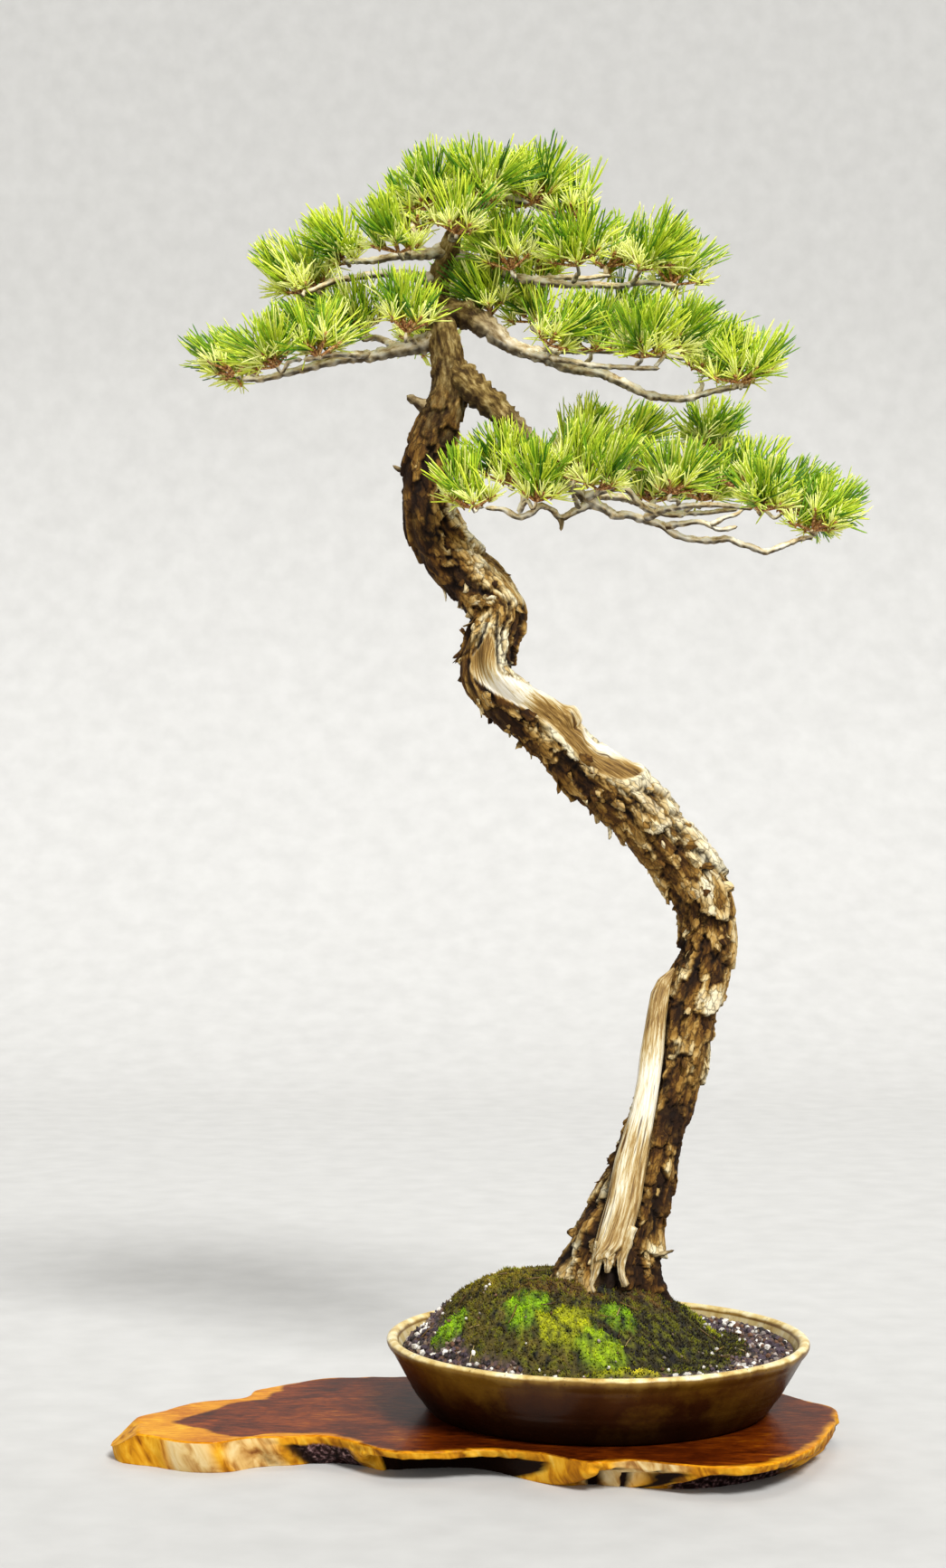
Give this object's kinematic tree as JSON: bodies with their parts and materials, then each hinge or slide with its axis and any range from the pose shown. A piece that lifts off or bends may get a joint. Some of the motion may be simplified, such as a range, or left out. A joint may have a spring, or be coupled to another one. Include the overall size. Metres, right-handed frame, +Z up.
{
  "type": "monterey pine bonsai in a round bowl on a display slab",
  "caption": "Potted miniature pine with a twisted bare-wood trunk and layered needle pads, in a shallow round stoneware bowl that stands on a flat live-edge wooden slab.",
  "frame": {"origin": "on the table under the middle of the bowl, on the slab's flat underside", "axes": "+Z up; the tree's front faces -Y; +X to the right as seen from the front"},
  "size_m": [0.4721, 0.2812, 0.8192],
  "materials": {
    "burl_wood": "polished oil",
    "stoneware": "satin ash glaze",
    "soil_grit": "loose grit with moss",
    "screen_plastic": "moulded mesh",
    "pine_bark": "rough bark and bare deadwood",
    "pine_needles": "waxy needle"
  },
  "bodies": {
    "root": {"display_slab": "burl_wood", "drainage_screen_1": "screen_plastic", "drainage_screen_2": "screen_plastic", "needles_back_1": "pine_needles", "needles_back_2": "pine_needles", "needles_back_3": "pine_needles", "needles_crown_1": "pine_needles", "needles_crown_2": "pine_needles", "needles_crown_3": "pine_needles", "needles_crown_4": "pine_needles", "needles_crown_5": "pine_needles", "needles_crown_6": "pine_needles", "needles_crown_7": "pine_needles", "needles_crown_8": "pine_needles", "needles_crown_9": "pine_needles", "needles_low_left_1": "pine_needles", "needles_low_left_2": "pine_needles", "needles_low_left_3": "pine_needles", "needles_low_left_4": "pine_needles", "needles_low_left_5": "pine_needles", "needles_low_left_6": "pine_needles", "needles_low_left_7": "pine_needles", "needles_low_right_1": "pine_needles", "needles_low_right_10": "pine_needles", "needles_low_right_11": "pine_needles", "needles_low_right_12": "pine_needles", "needles_low_right_13": "pine_needles", "needles_low_right_14": "pine_needles", "needles_low_right_15": "pine_needles", "needles_low_right_16": "pine_needles", "needles_low_right_2": "pine_needles", "needles_low_right_3": "pine_needles", "needles_low_right_4": "pine_needles", "needles_low_right_5": "pine_needles", "needles_low_right_6": "pine_needles", "needles_low_right_7": "pine_needles", "needles_low_right_8": "pine_needles", "needles_low_right_9": "pine_needles", "needles_mid_left_1": "pine_needles", "needles_mid_left_2": "pine_needles", "needles_mid_left_3": "pine_needles", "needles_mid_right_1": "pine_needles", "needles_mid_right_10": "pine_needles", "needles_mid_right_2": "pine_needles", "needles_mid_right_3": "pine_needles", "needles_mid_right_4": "pine_needles", "needles_mid_right_5": "pine_needles", "needles_mid_right_6": "pine_needles", "needles_mid_right_7": "pine_needles", "needles_mid_right_8": "pine_needles", "needles_mid_right_9": "pine_needles", "needles_top_right_1": "pine_needles", "needles_top_right_2": "pine_needles", "needles_top_right_3": "pine_needles", "needles_top_right_4": "pine_needles", "needles_top_right_5": "pine_needles", "needles_top_right_6": "pine_needles", "pine_wood": "pine_bark", "pot": "stoneware", "soil": "soil_grit"}
  },
  "joints": []
}
